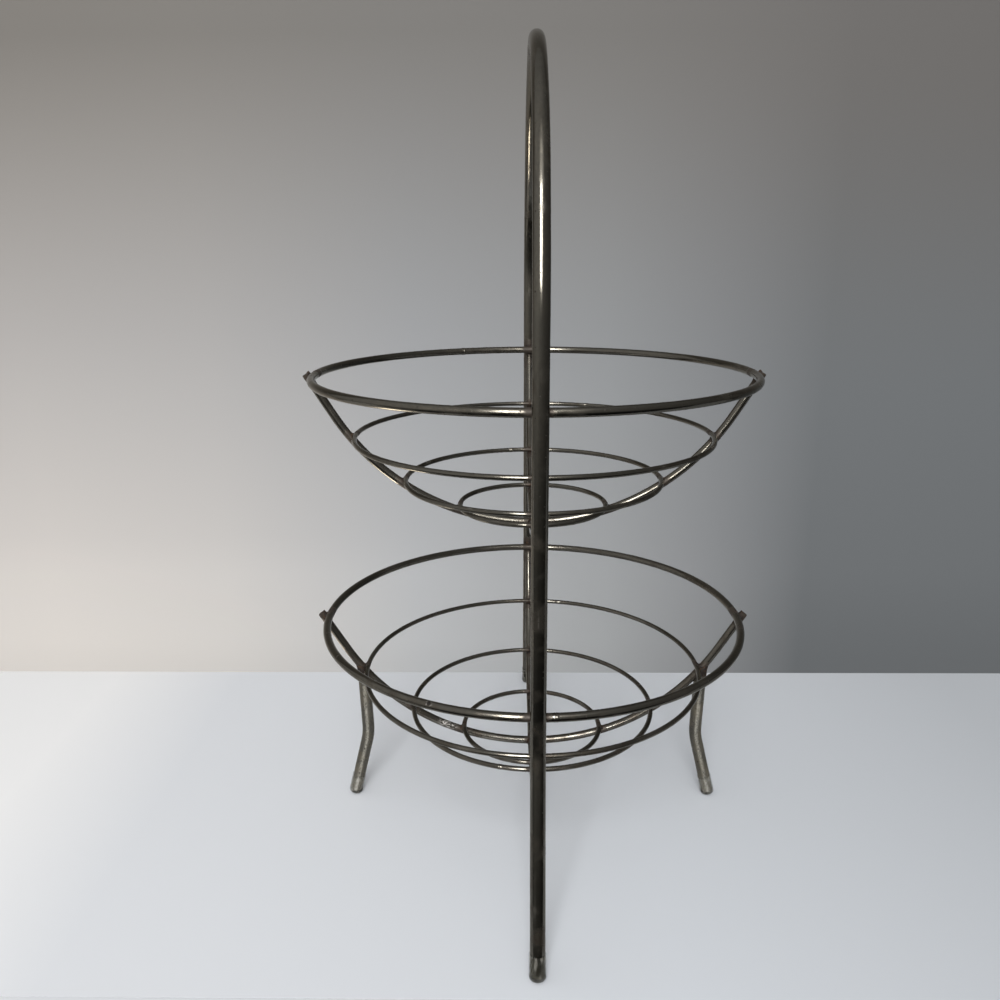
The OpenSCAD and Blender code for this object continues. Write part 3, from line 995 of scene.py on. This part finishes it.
# The stage is a pale table top before a pale wall, with light and shade painted into both: the table is
# painted lighter on the left, the wall lighter low down on the left and in shade to the right. A tall
# narrow window high in front lights it. The rest of the room gives dim light, which is brighter from the
# ceiling and just above the window.
TABLE_FRONT = -0.172
TABLE_BACK = 0.175
TABLE_SIDE = 1.1
TABLE_THICK = 0.03
WALL_AWAY = 1.3
WALL_SIDE = 3.0
WALL_BOTTOM = -1.6
WALL_TOP = 2.2
WALL_THICK = 0.02


def matt_paint(name, roughness, colour_of):
    """Plain paint whose colour is made by colour_of from its tree and the place on it."""
    material, made = bare_material(name)
    place = made.node("ShaderNodeTexCoord", out="Object")
    surface = made.node(
        "ShaderNodeBsdfPrincipled",
        sockets={"Base Color": colour_of(made, place), "Roughness": roughness},
    )
    made.end("ShaderNodeOutputMaterial", "Surface", surface)
    return material


# Painted light: the table top is lighter on the left, where a patch of sun falls, and darker to the right.
def table_with_painted_light(made, place):
    across, _, _ = made.split(place)
    return made.ramp(across, -0.36, 0.36, [
        (0.0, (0.88, 0.88, 0.88)),
        (0.15, (0.71, 0.73, 0.76)),
        (0.6, (0.63, 0.66, 0.70)),
        (1.0, (0.49, 0.515, 0.545)),
    ])


# Painted light: the wall is lighter on the left and low down, and falls into shade towards the right and
# the top.
def wall_with_painted_light(made, place):
    across, _, height = made.split(place)
    painted_light_across = made.ramp(across, -1.05, 0.75, [
        (0.0, (1.0, 0.98, 0.96)),
        (0.22, (0.86, 0.86, 0.86)),
        (0.46, (0.57, 0.61, 0.66)),
        (0.69, (0.37, 0.40, 0.43)),
        (0.81, (0.20, 0.21, 0.23)),
        (0.94, (0.0, 0.0, 0.0)),
    ])
    painted_light_down = made.ramp(height, -0.5, 0.9, [
        (0.0, (1.0, 0.94, 0.88)),
        (0.18, (0.74, 0.69, 0.65)),
        (0.5, (0.43, 0.40, 0.38)),
        (0.9, (0.10, 0.09, 0.075)),
    ])
    lit = made.node("ShaderNodeVectorMath", {"operation": "MULTIPLY"}, {0: painted_light_across, 1: painted_light_down})
    shade = made.blend(made.fade(height, 0.0, 0.75), (0.215, 0.230, 0.243), (0.190, 0.182, 0.175))
    return made.node("ShaderNodeVectorMath", {"operation": "ADD"}, {0: lit, 1: shade})


def stage_box(name, low, high, material):
    built = bmesh.new()
    bmesh.ops.create_cube(built, size=1.0)
    for corner in built.verts:
        corner.co = Vector([lo if c < 0 else hi for c, lo, hi in zip(corner.co, low, high)])
    mesh = bpy.data.meshes.new(name)
    built.to_mesh(mesh)
    built.free()
    mesh.materials.append(material)
    piece = new_object(name, mesh)


stage_box(
    "table_top",
    (-TABLE_SIDE, TABLE_FRONT, -TABLE_THICK),
    (TABLE_SIDE, TABLE_BACK, 0.0),
    matt_paint("pale table", 0.5, table_with_painted_light),
)
stage_box(
    "wall",
    (-WALL_SIDE, WALL_AWAY, WALL_BOTTOM),
    (WALL_SIDE, WALL_AWAY + WALL_THICK, WALL_TOP),
    matt_paint("pale wall", 0.8, wall_with_painted_light),
)


def soft_lamp(name, place, aim, width, height, brightness, colour=(1.0, 1.0, 1.0), spread=pi):
    """A flat soft lamp whose face has the given brightness, where 1 is white."""
    light = bpy.data.lights.new(name, "AREA")
    light.shape = "RECTANGLE"
    light.size = width
    light.size_y = height
    light.energy = brightness * pi * width * height
    light.color = colour
    light.spread = spread
    lamp = new_object(name, light)
    lamp.location = place
    lamp.rotation_euler = (Vector(aim) - Vector(place)).to_track_quat("-Z", "Y").to_euler()
    lamp.visible_camera = False
    return lamp


# The window is two lamps, because it has to be stronger in the gloss than in the matt light.
# They stand 3 cm apart: in one plane the first would hide the second. A patch of sun on the
# table shows only in the gloss of the wires.
HOOP_FRONT = (0.0, -0.137, 0.36)
WINDOW_WIDE = 0.76
WINDOW_TALL = 1.6
ABOVE_WINDOW = (0.0, -0.57, 0.82)
PATCH_WIDE = 0.09
PATCH_LONG = 0.20
window_size = (WINDOW_WIDE, WINDOW_TALL)
window_light = soft_lamp("window_light", (-0.22, -1.95, 1.45), HOOP_FRONT, *window_size, 10.5)
window_light.visible_glossy = False
window_gloss = soft_lamp("window_gloss", (-0.22, -1.92, 1.43), HOOP_FRONT, *window_size, 28.0)
window_gloss.visible_diffuse = False
sun_patch = soft_lamp(
    "sun_patch",
    (-0.25, 0.09, 0.003),
    (-0.25, 0.09, 1.0),
    PATCH_WIDE,
    PATCH_LONG,
    16.0,
    colour=(1.0, 0.90, 0.76),
    spread=radians(95.0),
)
sun_patch.visible_diffuse = False

world = bpy.data.worlds.new("soft room")
world.use_nodes = True
world.node_tree.nodes.clear()
made = Tree(world.node_tree)
sky = made.node("ShaderNodeTexCoord", out="Generated")
across, behind, height = made.split(sky)
room = made.ramp(height, -1.0, 1.0, [
    (0.0, (0.02, 0.02, 0.02)),
    (0.225, (0.035, 0.035, 0.035)),
    (0.35, (0.12, 0.12, 0.115)),
    (0.45, (0.34, 0.335, 0.325)),
    (0.55, (0.40, 0.395, 0.385)),
    (0.75, (0.42, 0.415, 0.41)),
    (0.925, (0.55, 0.55, 0.55)),
    (1.0, (0.80, 0.80, 0.81)),
])
over_window = made.node(
    "ShaderNodeVectorMath",
    {"operation": "DOT_PRODUCT"},
    {0: sky, 1: ABOVE_WINDOW},
    out="Value",
)
sides = 0.95 - 0.35 * across + 0.8 * made.fade(-1.0 * across, 0.15, 0.85)
strength = sides * (0.85 - 0.35 * behind) + 3.2 * made.fade(over_window, 0.90, 1.0)
background = made.node("ShaderNodeBackground", sockets={"Color": room, "Strength": strength})
made.end("ShaderNodeOutputWorld", "Surface", background)
bpy.context.scene.world = world
bpy.context.scene.view_settings.view_transform = "Standard"

bpy.context.view_layer.update()
